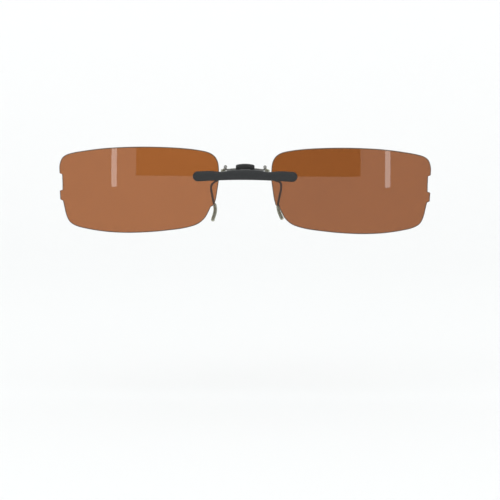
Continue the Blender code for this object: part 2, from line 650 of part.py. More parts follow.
for label, points in PRONG_ROUTES.items():
    whole = Route(points)
    wire_end = whole.length - 1.3
    body = Route(points)
    e = PRONG_WIRE_R * 0.55
    rings = [(0.0, 0), (0.0, PRONG_WIRE_R * 0.62), (e * 0.45, PRONG_WIRE_R * 0.90)]
    rings += [(s, PRONG_WIRE_R) for s in body.stations(e, wire_end - e, 1.7)]
    rings += [(wire_end - e * 0.45, PRONG_WIRE_R * 0.90), (wire_end, PRONG_WIRE_R * 0.62), (wire_end, 0)]
    emit("lower_prong_" + label, swept(body, rings), BODY, STEEL)
    start = whole.find(lambda p: p.z < SLEEVE_START[label])
    emit("prong_sleeve_" + label, sleeve(whole, start, wire_end + 0.08, PRONG_SLEEVE_BORE, PRONG_SLEEVE_R), BODY, CLEAR)


# ----------------------------------------------------------------- hook lever
BODY = "hook_lever"


def lever_solid():
    """The finger piece: a block whose top arches from side to side and rounds over at the front."""
    bm = bmesh.new()
    depth = LEVER_BACK_Y - LEVER_FRONT_Y
    profile = [
        (0.0, 0.0), (0.0, 0.55), (0.02, 0.78), (0.13, 0.92), (0.34, 0.985), (0.62, 1.0), (0.86, 0.96), (1.0, 0.88), (1.0, 0.0),
    ]
    loops = []
    stations = [-1.0, -0.955, -0.86, -0.62, -0.32, 0.0, 0.32, 0.62, 0.86, 0.955, 1.0]
    for u in stations:
        side_round = max(0.0, (abs(u) - 0.86) / 0.14)
        top = LEVER_TOP_Z - 0.42 * u * u - 0.26 * side_round ** 2
        inset = 0.16 * side_round ** 2
        loop = []
        for a, b in profile:
            y = LEVER_FRONT_Y + depth * a
            if a < 0.2:
                y += inset
            loop.append(bm.verts.new((u * LEVER_HALF, y, LEVER_BOTTOM_Z + (top - LEVER_BOTTOM_Z) * b)))
        loops.append(loop)
    skin(bm, loops)
    bm.faces.new(loops[0])
    bm.faces.new(loops[-1])
    return bm


lever = emit("press_lever", lever_solid(), BODY, BLACK)
for side, label in ((-1, "left"), (1, "right")):
    lug = [(HOOK_Y + LUG_R * math.cos(a), HOOK_Z + LUG_R * math.sin(a)) for a in (math.radians(-90 + 15 * k) for k in range(0, 12))]
    lug = [(LEVER_BACK_Y - 0.45, LEVER_BOTTOM_Z + 0.08), (LEVER_BACK_Y + 0.1, LEVER_BOTTOM_Z + 0.03), (HOOK_Y - 0.55, HOOK_Z - LUG_R * 0.86)] + lug[0:] + [(LEVER_BACK_Y - 0.45, 3.35)]
    a, b = sorted((side * LUG_X[0], side * (LUG_X[1] - 0.06)))
    combine(lever, emit("form_lug_" + label, prism_x(lug, a, b), BODY, None, helper=True), "UNION")
combine(lever, emit("cut_lug_hole", cylinder_x(-4, 4, HOOK_Y, HOOK_Z, HOOK_WIRE_R + 0.05), BODY, None, helper=True), "DIFFERENCE")

# Hook wire: one wire, its straight middle is the lever's pivot shaft; each end rises, runs back
# over the spectacle bridge and turns down and out behind it
HALF_HOOK = (
    (0.0, 5.50, 2.10), (2.2, 5.50, 2.10), (3.4, 5.50, 2.10), (4.6, 5.52, 1.98), (5.80, 5.55, 1.86), (6.38, 5.60, 2.02), (6.60, 5.74, 2.36),
    (6.62, 6.15, 2.66), (6.62, 6.90, 2.74), (6.62, 8.60, 2.70), (6.62, 10.30, 2.62), (6.64, 11.35, 2.46), (6.72, 11.88, 2.00),
    (6.98, 12.05, 1.47), (7.55, 12.12, 1.20), (8.25, 12.15, 1.12),
)
mirrored = tuple((-x, y, z) for x, y, z in reversed(HALF_HOOK[1:]))
hook_route = Route(mirrored + HALF_HOOK)
hook_wire_inset = 0.45
first, last = hook_wire_inset, hook_route.length - hook_wire_inset
e = HOOK_WIRE_R * 0.55
rings = [(first, 0), (first, HOOK_WIRE_R * 0.62), (first + e * 0.45, HOOK_WIRE_R * 0.90)]
rings += [(s, HOOK_WIRE_R) for s in hook_route.stations(first + e, last - e, 1.9)]
rings += [(last - e * 0.45, HOOK_WIRE_R * 0.90), (last, HOOK_WIRE_R * 0.62), (last, 0)]
emit("hook_wire", swept(hook_route, rings), BODY, STEEL)
for label, sign in (("left", -1), ("right", 1)):
    points = tuple((sign * x, y, z) for x, y, z in HALF_HOOK)
    half = Route(points)
    start = half.find(lambda p: p.y > 8.7)
    emit("hook_sleeve_" + label, sleeve(half, start, half.length - hook_wire_inset + 0.08, HOOK_SLEEVE_BORE, HOOK_SLEEVE_R, tip=0.32), BODY, CLEAR)


# ------------------------------------------------------------- torsion spring
BODY = "clip_base"
coil_half = 0.72
spring_points = [(-coil_half - 0.02, HOOK_Y + 0.40, 0.78), (-coil_half, HOOK_Y + SPRING_R - 0.02, 1.35)]
steps = 12
for k in range(SPRING_TURNS * steps + 1):
    a = 2 * math.pi * k / steps
    x = -coil_half + 2 * coil_half * k / (SPRING_TURNS * steps)
    spring_points.append((x, HOOK_Y + SPRING_R * math.cos(a), HOOK_Z + SPRING_R * math.sin(a)))
# the free leg leans forward onto the back of the finger piece
spring_points += [(coil_half + 0.02, HOOK_Y + 0.50, HOOK_Z + 0.80), (coil_half, HOOK_Y - 0.10, HOOK_Z + 1.05), (coil_half, LEVER_BACK_Y + 0.20, HOOK_Z + 1.10)]
spring_route = Route(spring_points, per_span=3)
e = SPRING_WIRE_R
rings = [(0.0, 0), (0.0, SPRING_WIRE_R)]
rings += [(s, SPRING_WIRE_R) for s in spring_route.stations(0.1, spring_route.length - 0.1, 0.42, math.radians(34))]
rings += [(spring_route.length, SPRING_WIRE_R), (spring_route.length, 0)]
emit("torsion_spring", swept(spring_route, rings, sides=6), BODY, STEEL)
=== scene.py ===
"""Looks of the flip-up clip-on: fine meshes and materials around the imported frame."""
import json
import math

import bmesh
import bpy
from mathutils import Matrix, Vector


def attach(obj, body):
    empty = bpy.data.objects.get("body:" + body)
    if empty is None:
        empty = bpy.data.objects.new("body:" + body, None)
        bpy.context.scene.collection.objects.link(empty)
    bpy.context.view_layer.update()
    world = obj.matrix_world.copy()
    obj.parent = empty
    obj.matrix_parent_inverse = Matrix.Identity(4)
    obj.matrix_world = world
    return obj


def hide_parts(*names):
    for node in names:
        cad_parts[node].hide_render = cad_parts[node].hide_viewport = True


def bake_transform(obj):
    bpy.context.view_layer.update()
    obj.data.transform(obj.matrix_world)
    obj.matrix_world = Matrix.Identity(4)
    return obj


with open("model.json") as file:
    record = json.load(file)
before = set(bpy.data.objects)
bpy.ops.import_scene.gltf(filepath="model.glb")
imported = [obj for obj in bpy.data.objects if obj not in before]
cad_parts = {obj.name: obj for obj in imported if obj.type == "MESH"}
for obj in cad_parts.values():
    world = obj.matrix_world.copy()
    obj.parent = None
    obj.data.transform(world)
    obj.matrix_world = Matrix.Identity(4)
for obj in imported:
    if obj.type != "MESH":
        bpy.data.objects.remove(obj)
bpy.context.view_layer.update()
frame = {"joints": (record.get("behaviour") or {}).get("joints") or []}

MM = 0.001
CARRIER, BASE, LEVER = "lens_carrier", "clip_base", "hook_lever"

# The design frame in millimetres: Y = 0 is the flat back of the bar.  The two
# joints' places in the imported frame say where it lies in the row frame.
joints = {j["name"]: Vector(j["pos_m"]) for j in frame["joints"]}
FLIP_Y, FLIP_Z = 1.30, 1.25
HOOK_Y, HOOK_Z = 5.50, 2.10
ORIGIN = joints["flip_hinge"] / MM - Vector((0, FLIP_Y, FLIP_Z))
TO_ROW = Matrix.Scale(MM, 4) @ Matrix.Translation(ORIGIN)
SEAT_Y, SEAT_Z = -ORIGIN.y, -ORIGIN.z


# =============================================================== mesh helpers
def skin(bm, rings, closed_ends=False):
    for a, b in zip(rings, rings[1:]):
        n = max(len(a), len(b))
        for k in range(n):
            m = (k + 1) % n
            if len(a) == 1:
                bm.faces.new((a[0], b[m], b[k]))
            elif len(b) == 1:
                bm.faces.new((a[k], a[m], b[0]))
            else:
                bm.faces.new((a[k], a[m], b[m], b[k]))
    if closed_ends:
        bm.faces.new(rings[0])
        bm.faces.new(rings[-1])


def block(x0, x1, y0, y1, z0, z1, edge=0.0, segments=3):
    bm = bmesh.new()
    bmesh.ops.create_cube(bm, size=1.0)
    for v in bm.verts:
        v.co = Vector((x0 + (v.co.x + 0.5) * (x1 - x0), y0 + (v.co.y + 0.5) * (y1 - y0), z0 + (v.co.z + 0.5) * (z1 - z0)))
    if edge:
        bmesh.ops.bevel(bm, geom=list(bm.edges), offset=edge, segments=segments, affect="EDGES", profile=0.5)
    return bm


def rod(start, end, radius, sides=40):
    """A plain cylinder between two points."""
    start, end = Vector(start), Vector(end)
    bm = bmesh.new()
    bmesh.ops.create_cone(bm, cap_ends=True, segments=sides, radius1=radius, radius2=radius, depth=(end - start).length)
    turn = (end - start).to_track_quat("Z", "Y").to_matrix().to_4x4()
    bmesh.ops.transform(bm, matrix=Matrix.Translation((start + end) / 2) @ turn, verts=bm.verts)
    return bm


def prism_x(points, x0, x1, edge=0.0, segments=2):
    """A closed (y, z) outline extruded along X, its rims eased."""
    bm = bmesh.new()
    face = bm.faces.new([bm.verts.new((x0, y, z)) for y, z in points])
    out = bmesh.ops.extrude_face_region(bm, geom=[face])
    for item in out["geom"]:
        if isinstance(item, bmesh.types.BMVert):
            item.co.x = x1
    bmesh.ops.recalc_face_normals(bm, faces=bm.faces)
    if edge:
        rim = [e for e in bm.edges if abs(e.verts[0].co.x - e.verts[1].co.x) < 1e-6]
        bmesh.ops.bevel(bm, geom=rim, offset=edge, segments=segments, affect="EDGES", profile=0.5)
    return bm


def turned(profile, origin, axis, sides=48):
    """A solid of revolution; profile is (distance along the axis, radius)."""
    bm = bmesh.new()
    axis = Vector(axis).normalized()
    across = axis.orthogonal().normalized()
    third = axis.cross(across)
    origin = Vector(origin)
    rings = []
    for along, radius in profile:
        centre = origin + axis * along
        if radius == 0:
            rings.append([bm.verts.new(centre)])
            continue
        rings.append([bm.verts.new(centre + (across * math.cos(a) + third * math.sin(a)) * radius)
                      for a in (2 * math.pi * k / sides for k in range(sides))])
    skin(bm, rings)
    return bm


def washer(origin, axis, inner, outer, thickness, ease=0.05, sides=64):
    """A flat ring with rounded edges; origin is the middle of its first face."""
    bm = bmesh.new()
    axis = Vector(axis).normalized()
    across = axis.orthogonal().normalized()
    third = axis.cross(across)
    origin = Vector(origin)
    loop = []
    corners = ((ease, outer - ease, 180, 90), (thickness - ease, outer - ease, 90, 0), (thickness - ease, inner + ease, 360, 270), (ease, inner + ease, 270, 180))
    for along, radius, a0, a1 in corners:
        for k in range(5):
            a = math.radians(a0 + (a1 - a0) * k / 4)
            loop.append((along + ease * math.cos(a), radius + ease * math.sin(a)))
    rings = [[bm.verts.new(origin + axis * s + (across * math.cos(a) + third * math.sin(a)) * r)
              for a in (2 * math.pi * k / sides for k in range(sides))] for s, r in loop]
    skin(bm, rings + rings[:1])
    return bm


def smooth(points, per_span=8):
    """A centripetal Catmull-Rom curve through the points."""
    pts = [Vector(p) for p in points]
    pts = [pts[0] * 2 - pts[1]] + pts + [pts[-1] * 2 - pts[-2]]
    out = []
    for p0, p1, p2, p3 in zip(pts, pts[1:], pts[2:], pts[3:]):
        t0 = 0.0
        t1 = t0 + max((p1 - p0).length, 1e-6) ** 0.5
        t2 = t1 + max((p2 - p1).length, 1e-6) ** 0.5
        t3 = t2 + max((p3 - p2).length, 1e-6) ** 0.5
        for k in range(per_span):
            t = t1 + (t2 - t1) * k / per_span
            a1 = p0 * ((t1 - t) / (t1 - t0)) + p1 * ((t - t0) / (t1 - t0))
            a2 = p1 * ((t2 - t) / (t2 - t1)) + p2 * ((t - t1) / (t2 - t1))
            a3 = p2 * ((t3 - t) / (t3 - t2)) + p3 * ((t - t2) / (t3 - t2))
            b1 = a1 * ((t2 - t) / (t2 - t0)) + a2 * ((t - t0) / (t2 - t0))
            b2 = a2 * ((t3 - t) / (t3 - t1)) + a3 * ((t - t1) / (t3 - t1))
            out.append(b1 * ((t2 - t) / (t2 - t1)) + b2 * ((t - t1) / (t2 - t1)))
    out.append(pts[-2])
    return out


class Route:
    """A smooth path read by the distance along it, with a frame that doesn't twist."""

    def __init__(self, points, per_span=24):
        self.points = smooth(points, per_span)
        self.at = [0.0]
        for a, b in zip(self.points, self.points[1:]):
            self.at.append(self.at[-1] + (b - a).length)
        self.length = self.at[-1]
        n = len(self.points)
        self.ahead = [(self.points[min(i + 1, n - 1)] - self.points[max(i - 1, 0)]).normalized() for i in range(n)]
        side = self.ahead[0].orthogonal().normalized()
        self.side = []
        for direction in self.ahead:
            side = (side - direction * side.dot(direction)).normalized()
            self.side.append(side)

    def frame(self, s):
        s = min(max(s, 0.0), self.length)
        low, high = 0, len(self.at) - 1
        while high - low > 1:
            middle = (low + high) // 2
            if self.at[middle] <= s:
                low = middle
            else:
                high = middle
        f = (s - self.at[low]) / max(self.at[high] - self.at[low], 1e-9)
        point = self.points[low].lerp(self.points[high], f)
        ahead = self.ahead[low].lerp(self.ahead[high], f).normalized()
        side = self.side[low].lerp(self.side[high], f)
        side = (side - ahead * side.dot(ahead)).normalized()
        return point, side, ahead.cross(side)

    def find(self, test):
        for s, p in zip(self.at, self.points):
            if test(p):
                return s
        return self.length

    def stations(self, s0, s1, step):
        n = max(1, round((s1 - s0) / step))
        return [s0 + (s1 - s0) * k / n for k in range(n + 1)]


def swept(route, rings, sides=24):
    bm = bmesh.new()
    loops = []
    for s, radius in rings:
        point, u, v = route.frame(s)
        if radius == 0:
            loops.append([bm.verts.new(point)])
            continue
        loops.append([bm.verts.new(point + (u * math.cos(a) + v * math.sin(a)) * radius)
                      for a in (2 * math.pi * k / sides for k in range(sides))])
    skin(bm, loops)
    return bm


def wire(route, radius, first=0.0, last=None, step=0.16, sides=24, ease=0.45):
    """A solid drawn wire with rounded ends."""
    last = route.length if last is None else last
    e = radius * ease
    turn = [(e * (1 - math.cos(math.radians(a))), radius - e + e * math.sin(math.radians(a))) for a in (0, 25, 50, 70)]
    rings = [(first, 0), (first, radius * 0.3)] + [(first + s, r) for s, r in turn]
    rings += [(s, radius) for s in route.stations(first + e, last - e, step)]
    rings += [(last - s, r) for s, r in reversed(turn)] + [(last, radius * 0.3), (last, 0)]
    return swept(route, rings, sides)


def sleeve(route, start, wire_end, bore, radius, tip, step=0.18, sides=28):
    """A soft cap over a wire's end: open at start, closed and domed past wire_end."""
    end = route.length
    inner = route.stations(start + 0.04, wire_end - 0.05, step)
    outer = route.stations(start + 0.10, end - tip, step)
    rings = [(wire_end, 0), (wire_end, bore * 0.5), (wire_end - 0.02, bore * 0.85)] + [(s, bore) for s in reversed(inner)]
    rings += [(start + 0.01, bore + 0.02), (start, (bore + radius) / 2), (start + 0.02, radius - 0.05)]
    rings += [(s, radius) for s in outer]
    for a in (18, 36, 54, 70, 82):
        a = math.radians(a)
        rings.append((end - tip + tip * math.sin(a), radius * math.cos(a) ** 0.8))
    rings.append((end, 0))
    return swept(route, rings, sides)


def raw(name, bm):
    """An object in the row frame from a mesh in the design frame."""
    mesh = bpy.data.meshes.new(name)
    bmesh.ops.recalc_face_normals(bm, faces=bm.faces)
    bm.to_mesh(mesh)
    bm.free()
    mesh.transform(TO_ROW)
    obj = bpy.data.objects.new(name, mesh)
    bpy.context.scene.collection.objects.link(obj)
    return obj


def apply(obj):
    """Replaces the mesh with what its modifiers make of it."""
    bpy.context.view_layer.update()
    graph = bpy.context.evaluated_depsgraph_get()
    mesh = bpy.data.meshes.new_from_object(obj.evaluated_get(graph), depsgraph=graph)
    old = obj.data
    obj.modifiers.clear()
    obj.data = mesh
    bpy.data.meshes.remove(old)
    return obj


def combine(obj, bm, operation):
    """Joins or cuts with a helper mesh, which is then removed."""
    other = raw("helper", bm)
    made = obj.modifiers.new("b", "BOOLEAN")
    made.operation, made.solver, made.object = operation, "EXACT", other
    apply(obj)
    bpy.data.objects.remove(other, do_unlink=True)
    return obj


def moulded(obj, voxel, relax):
    """A moulded part's soft edges: one skin of small faces, relaxed."""
    made = obj.modifiers.new("skin", "REMESH")
    made.mode, made.voxel_size, made.adaptivity = "VOXEL", voxel * MM, 0.0
    made = obj.modifiers.new("relax", "SMOOTH")
    made.factor, made.iterations = 0.5, relax
    apply(obj)
    obj.data.shade_smooth()
    return obj


def show(obj, body, finish, slot, *nodes, sharp=32):
    obj.data.materials.clear()
    obj.data.materials.append(finish)
    if sharp:
        obj.data.shade_smooth()
        obj.data.set_sharp_from_angle(angle=math.radians(sharp))
    if body:
        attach(obj, body)
    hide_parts(*nodes)
    return obj


# ================================================================== materials
def finish(name, colours, scale, roughness, rough_spread=0.06, metallic=0.0, stretch=(1, 1, 1),
           bump=0.0, bump_scale=None, bump_depth=2e-6, coat=0.0, coat_rough=0.2, wear=None, **sockets):
    """A Principled surface whose colour, roughness and relief vary with noise in object space."""
    made = bpy.data.materials.new(name)
    made.use_nodes = True
    tree = made.node_tree
    shader = tree.nodes["Principled BSDF"]
    shader.inputs["Metallic"].default_value = metallic
    shader.inputs["Coat Weight"].default_value = coat
    shader.inputs["Coat Roughness"].default_value = coat_rough
    for key, value in sockets.items():
        shader.inputs[key.replace("_", " ")].default_value = value
    place = tree.nodes.new("ShaderNodeTexCoord")
    mapping = tree.nodes.new("ShaderNodeMapping")
    mapping.inputs["Scale"].default_value = stretch
    tree.links.new(place.outputs["Object"], mapping.inputs["Vector"])

    def noise(size, detail, rough=0.55):
        node = tree.nodes.new("ShaderNodeTexNoise")
        node.inputs["Scale"].default_value = size
        node.inputs["Detail"].default_value = detail
        node.inputs["Roughness"].default_value = rough
        tree.links.new(mapping.outputs["Vector"], node.inputs["Vector"])
        return node.outputs["Fac"]

    ramp = tree.nodes.new("ShaderNodeValToRGB")
    while len(ramp.color_ramp.elements) < len(colours):
        ramp.color_ramp.elements.new(0.5)
    for element, (at, colour) in zip(ramp.color_ramp.elements, colours):
        element.position, element.color = at, (*colour, 1)
    tree.links.new(noise(scale, 5), ramp.inputs["Fac"])
    colour_out = ramp.outputs["Color"]
    if wear:
        geometry = tree.nodes.new("ShaderNodeNewGeometry")
        edge = tree.nodes.new("ShaderNodeMapRange")
        edge.inputs["From Min"].default_value, edge.inputs["From Max"].default_value = 0.53, 0.62
        tree.links.new(geometry.outputs["Pointiness"], edge.inputs["Value"])
        broken = tree.nodes.new("ShaderNodeMath")
        broken.operation = "MULTIPLY"
        tree.links.new(edge.outputs["Result"], broken.inputs[0])
        tree.links.new(noise(scale * 2.7, 4), broken.inputs[1])
        mix = tree.nodes.new("ShaderNodeMix")
        mix.data_type = "RGBA"
        tree.links.new(broken.outputs[0], mix.inputs["Factor"])
        tree.links.new(colour_out, mix.inputs["A"])
        mix.inputs["B"].default_value = (*wear, 1)
        colour_out = mix.outputs["Result"]
    tree.links.new(colour_out, shader.inputs["Base Color"])
    spread = tree.nodes.new("ShaderNodeMapRange")
    spread.inputs["To Min"].default_value = max(0.0, roughness - rough_spread)
    spread.inputs["To Max"].default_value = roughness + rough_spread
    tree.links.new(noise(scale * 1.9, 4), spread.inputs["Value"])
    tree.links.new(spread.outputs["Result"], shader.inputs["Roughness"])
    if bump:
        relief = tree.nodes.new("ShaderNodeBump")
        relief.inputs["Strength"].default_value = bump
        relief.inputs["Distance"].default_value = bump_depth
        tree.links.new(noise(bump_scale or scale * 3, 3, 0.6), relief.inputs["Height"])
        tree.links.new(relief.outputs["Normal"], shader.inputs["Normal"])
    return made


def tinted(name, light, deep, roughness, ior, scale, clear=1.0):
    """A clear or milky body with a tint that clouds very slightly."""
    made = bpy.data.materials.new(name)
    made.use_nodes = True
    tree = made.node_tree
    shader = tree.nodes["Principled BSDF"]
    shader.inputs["Transmission Weight"].default_value = clear
    shader.inputs["Roughness"].default_value = roughness
    shader.inputs["IOR"].default_value = ior
    place = tree.nodes.new("ShaderNodeTexCoord")
    noise = tree.nodes.new("ShaderNodeTexNoise")
    noise.inputs["Scale"].default_value = scale
    noise.inputs["Detail"].default_value = 2
    tree.links.new(place.outputs["Object"], noise.inputs["Vector"])
    ramp = tree.nodes.new("ShaderNodeValToRGB")
    ramp.color_ramp.elements[0].position, ramp.color_ramp.elements[0].color = 0.3, (*light, 1)
    ramp.color_ramp.elements[1].position, ramp.color_ramp.elements[1].color = 0.7, (*deep, 1)
    tree.links.new(noise.outputs["Fac"], ramp.inputs["Fac"])
    tree.links.new(ramp.outputs["Color"], shader.inputs["Base Color"])
    return made


# The two lenses are one tinted glass; the right lens's tint is set darker than the left's, painted shade for the dimmer
# light on that side.
LENS = {"left": tinted("lens_tint_left", (0.380, 0.126, 0.034), (0.366, 0.121, 0.032), 0.0, 1.50, 45),
        "right": tinted("lens_tint_right_painted_shade", (0.306, 0.098, 0.025), (0.294, 0.094, 0.024), 0.0, 1.50, 45)}
LENS_EDGE = finish("lens_edge", ((0.3, (0.074, 0.044, 0.026)), (0.7, (0.104, 0.064, 0.039))), 1400, 0.55, 0.08,
                   bump=0.3, bump_scale=9000, bump_depth=2e-6)
VINYL = tinted("clear_vinyl", (0.60, 0.61, 0.50), (0.52, 0.53, 0.43), 0.12, 1.42, 900, clear=0.72)
BLACK = finish("bar_black", ((0.25, (0.0195, 0.0210, 0.0218)), (0.75, (0.0265, 0.0285, 0.0298))), 900, 0.50, 0.07,
               bump=0.3, bump_scale=9000, bump_depth=1.5e-6, wear=(0.050, 0.055, 0.055), Specular_IOR_Level=0.28)
BASE_BLACK = finish("base_black", ((0.25, (0.013, 0.014, 0.015)), (0.75, (0.021, 0.022, 0.024))), 1100, 0.46, 0.08,
                    bump=0.35, bump_scale=11000, bump_depth=2e-6, wear=(0.045, 0.046, 0.047))
LEVER_BLACK = finish("lever_black", ((0.25, (0.007, 0.0075, 0.008)), (0.75, (0.012, 0.013, 0.0135))), 1300, 0.38, 0.08,
                     bump=0.5, bump_scale=12000, bump_depth=3e-6, wear=(0.045, 0.046, 0.047))
# The hook wire's steel is set far darker than steel is: painted shade standing for the dark room it mirrors.
WIRE = finish("wire_steel", ((0.3, (0.13, 0.13, 0.125)), (0.7, (0.22, 0.22, 0.210))), 1600, 0.28, 0.08, metallic=1.0,
              bump=0.2, bump_scale=7000, bump_depth=1e-6)
# The lower prongs' steel is darker still: painted shade for the dark look of the prongs seen through the lens.
PRONG = finish("prong_steel_painted_shade", ((0.3, (0.050, 0.046, 0.038)), (0.7, (0.085, 0.079, 0.067))), 1600, 0.30, 0.08, metallic=1.0,
               bump=0.2, bump_scale=7000, bump_depth=1e-6)
SCREW = finish("screw_steel", ((0.3, (0.46, 0.46, 0.45)), (0.7, (0.60, 0.60, 0.58))), 2200, 0.24, 0.08, metallic=1.0,
               bump=0.2, bump_scale=9000, bump_depth=1e-6)
SPRING = finish("spring_steel", ((0.3, (0.34, 0.34, 0.34)), (0.7, (0.48, 0.48, 0.47))), 1800, 0.30, 0.08, metallic=1.0)
PLATE = finish("clamp_steel", ((0.3, (0.40, 0.40, 0.395)), (0.7, (0.53, 0.53, 0.52))), 500, 0.34, 0.08, metallic=1.0, stretch=(1, 14, 14),
               bump=0.35, bump_scale=1500, bump_depth=1.2e-6)
BLUED = finish("leaf_blued", ((0.3, (0.035, 0.037, 0.042)), (0.7, (0.060, 0.062, 0.070))), 900, 0.40, 0.08, metallic=1.0,
               bump=0.25, bump_scale=4000, bump_depth=1e-6)
DARK_NYLON = finish("washer_dark", ((0.3, (0.018, 0.018, 0.018)), (0.7, (0.030, 0.030, 0.030))), 1500, 0.50, 0.06)
NYLON = finish("washer_nylon", ((0.3, (0.60, 0.59, 0.54)), (0.7, (0.74, 0.73, 0.68))), 1500, 0.46, 0.06, Subsurface_Weight=0.15, Subsurface_Scale=0.0003)
SILICONE = finish("pad_silicone", ((0.3, (0.40, 0.42, 0.42)), (0.7, (0.50, 0.52, 0.52))), 900, 0.55, 0.06, bump=0.3, bump_scale=5000, bump_depth=3e-6,
                  Subsurface_Weight=0.4, Subsurface_Scale=0.0006, Specular_IOR_Level=0.3)


# ===================================================================== lenses
LENS_T, LENS_R, LENS_WRAP, LENS_Y = 1.20, 175.0, 0.07, 0.40
LENS_RIM = 0.28
LENS_C = (35.0, -4.7)
OUTLINE_RUNS = (
    ((8.70, 2.2), (8.85, 3.8), (9.25, 5.2), (10.15, 6.6), (11.9, 7.75), (15.5, 8.6), (21.5, 9.25),
     (31.5, 9.60), (40.0, 9.43), (47.0, 8.95), (53.0, 8.15), (57.4, 7.35), (59.6, 6.65), (60.9, 5.7),
     (61.6, 4.3), (61.92, 2.6), (61.82, 0.45)),
    ((60.98, 0.15), (60.86, -2.5), (60.84, -5.05)),
    ((61.74, -5.35), (61.58, -8.25)),
    ((60.68, -8.70), (60.25, -10.6), (59.80, -12.6), (59.15, -14.5), (58.2, -15.9), (56.2, -17.05),
     (52.0, -18.05), (46.0, -18.85), (39.5, -19.10), (33.0, -18.87), (26.0, -18.22), (19.5, -17.25),
     (15.6, -15.95), (13.3, -14.0), (12.15, -12.0), (11.35, -10.25)),
    ((10.15, -9.55), (9.55, -7.2), (9.15, -4.6), (8.75, -1.6), (8.66, 0.4)),
)


def lens_outline(spacing=0.42, corner=0.15):
    """The outline as closely spaced points, with its corners eased."""
    points, corners = [], set()
    for n, run in enumerate(OUTLINE_RUNS):
        fine = [Vector((*p, 0)) for p in run] if len(run) == 2 else smooth([(*p, 0) for p in run], 30)
        if len(run) == 2:
            fine = [fine[0].lerp(fine[1], k / 8) for k in range(9)]
        kept = [fine[0]]
        for p in fine[1:-1]:
            if (p - kept[-1]).length >= spacing:
                kept.append(p)
        if (fine[-1] - kept[-1]).length < spacing * 0.5 and len(kept) > 1:
            kept.pop()
        kept.append(fine[-1])
        if n:
            corners.add(len(points))
        points += kept
        if n < len(OUTLINE_RUNS) - 1:
            corners.add(len(points) - 1)
    out = []
    for i, p in enumerate(points):
        if i not in corners:
            out.append((p.x, p.y))
            continue
        before, after = points[i - 1], points[(i + 1) % len(points)]
        a = p + (before - p).normalized() * min(corner, (before - p).length * 0.45)
        b = p + (after - p).normalized() * min(corner, (after - p).length * 0.45)
        for t in (0.0, 0.33, 0.67, 1.0):
            q = a * (1 - t) ** 2 + p * (2 * t * (1 - t)) + b * t * t
            out.append((q.x, q.y))
    return out


def lens_front(d, z):
    across, up = d - LENS_C[0], z - LENS_C[1]
    return LENS_Y + (across * across + up * up) / (2 * LENS_R) + LENS_WRAP * across


def lens_mesh(side):
    """A curved slab whose rim is rounded over; the rim and its two chamfers are the ground edge (material 1)."""
    bm = bmesh.new()
    outline = lens_outline()
    cx, cz = LENS_C

    def ring(inset, scale, depth):
        made = []
        for d, z in outline:
            # in from the edge, towards the lens's middle line
            qx = min(max(d, 22.0), 48.0)
            away = math.hypot(d - qx, z - cz)
            u, v = d + (qx - d) / away * inset, z + (cz - z) / away * inset
            u, v = cx + (u - cx) * scale, cz + (v - cz) * scale
            made.append(bm.verts.new((side * u, lens_front(u, v) + depth, v)))
        return made

    rim = LENS_RIM
    faces = [0.06, 0.14, 0.24, 0.34, 0.44, 0.54, 0.64, 0.74, 0.83, 0.91, 0.965]
    turn = [(rim * (1 - math.sin(math.radians(a))), 0.24 * (1 - math.cos(math.radians(a)))) for a in (0, 18, 36, 54, 72, 90)]
    edge = turn + [(0.0, LENS_T / 2)] + [(i, LENS_T - d) for i, d in reversed(turn)]
    rings = [[bm.verts.new((side * cx, lens_front(cx, cz), cz))]]
    rings += [ring(rim * 1.4, f, 0.0) for f in faces] + [ring(rim * 1.4, 1.0, 0.0)]
    first = len(rings)
    rings += [ring(i, 1.0, d) for i, d in edge]
    last = len(rings)
    rings += [ring(rim * 1.4, 1.0, LENS_T)] + [ring(rim * 1.4, f, LENS_T) for f in reversed(faces)]
    rings.append([bm.verts.new((side * cx, lens_front(cx, cz) + LENS_T, cz))])
    skin(bm, rings)
    band = {v for ring in rings[first:last] for v in ring}
    for face in bm.faces:
        face.material_index = 1 if all(v in band for v in face.verts) else 0
    return bm


def polish(obj, side):
    """Sets the two faces' normals from the lens's own curve, so that reflections run true."""
    mesh = obj.data
    mesh.shade_smooth()
    normals = []
    for polygon in mesh.polygons:
        flat = abs(polygon.normal.y) > 0.93
        sign = 1 if polygon.normal.y > 0 else -1
        for index in polygon.vertices:
            co = mesh.vertices[index].co / MM - ORIGIN
            if flat:
                d, z = side * co.x, co.z
                n = Vector((-side * ((d - LENS_C[0]) / LENS_R + LENS_WRAP), 1.0, -(z - LENS_C[1]) / LENS_R)).normalized() * sign
            else:
                n = mesh.vertices[index].normal if abs(polygon.normal.y) > 0.25 else polygon.normal
            normals.append(tuple(n))
    mesh.normals_split_custom_set(normals)


def bar_centre(x):
    return 0.50 - 0.56 * min(1.0, abs(x) / 15.0) ** 2


SCREW_X = (11.9, 15.1)
for side, label in ((-1, "left"), (1, "right")):
    piece = raw("glass_" + label, lens_mesh(side))
    piece.data.materials.append(LENS[label])
    piece.data.materials.append(LENS_EDGE)
    for x in SCREW_X:
        z = bar_centre(x)
        combine(piece, rod((side * x, -1.5, z), (side * x, 3.5, z), 0.64), "DIFFERENCE")
    polish(piece, side)
    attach(piece, CARRIER)
    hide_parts("lens_" + label)


# ================================================================= bridge bar
BAR_L, BAR_H, BAR_T, BAR_E = 17.35, 1.67, 1.50, 0.60


def bar_waist(x):
    """How far the top edge dips beside the hinge, so that the hooks' wires clear it."""
    return 0.50 * math.exp(-(((abs(x) - 8.0) / 2.6) ** 2))


